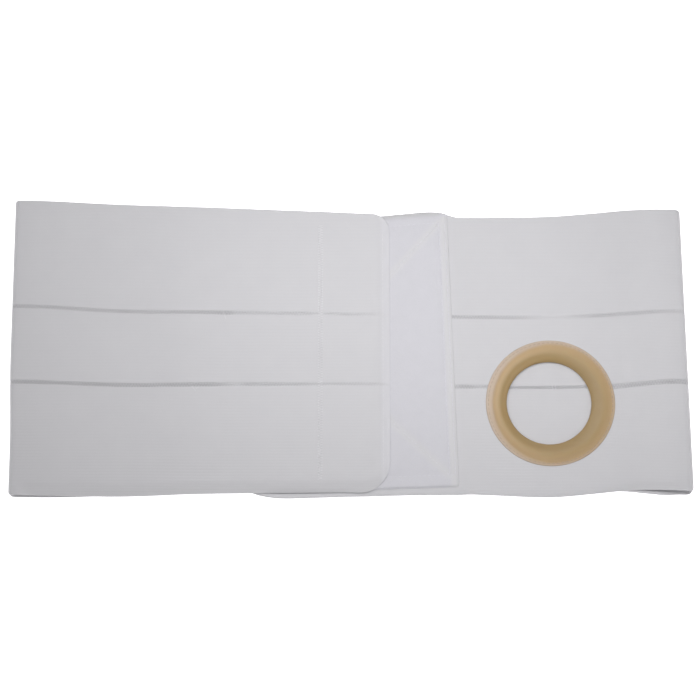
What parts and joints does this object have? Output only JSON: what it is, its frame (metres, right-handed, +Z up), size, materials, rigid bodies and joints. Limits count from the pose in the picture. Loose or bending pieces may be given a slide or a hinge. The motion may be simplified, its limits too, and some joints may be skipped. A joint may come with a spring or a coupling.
{
  "type": "ostomy support belt",
  "caption": "Wide elastic ostomy support belt closed into a flattened loop, with sewn elastic strips, a hook-and-loop closure and a moulded ring round the stoma opening.",
  "frame": {"origin": "on the surface the belt lies on, under the middle of its bounding box", "axes": "+X along the belt towards the opening's end, +Y across the width towards the upper strip, +Z up from the surface"},
  "size_m": [0.4794, 0.214, 0.0152],
  "materials": {
    "elastic": "matte knitted white elastic",
    "loop_pile": "brushed white loop pile",
    "hook_tape": "white hook tape",
    "tan_vinyl": "satin tan soft vinyl"
  },
  "bodies": {
    "root": {"upper_strip": "elastic", "middle_strip": "elastic", "lower_strip": "elastic", "closure_panel": "loop_pile", "hook_strip": "hook_tape", "stoma_ring": "tan_vinyl"}
  },
  "joints": []
}
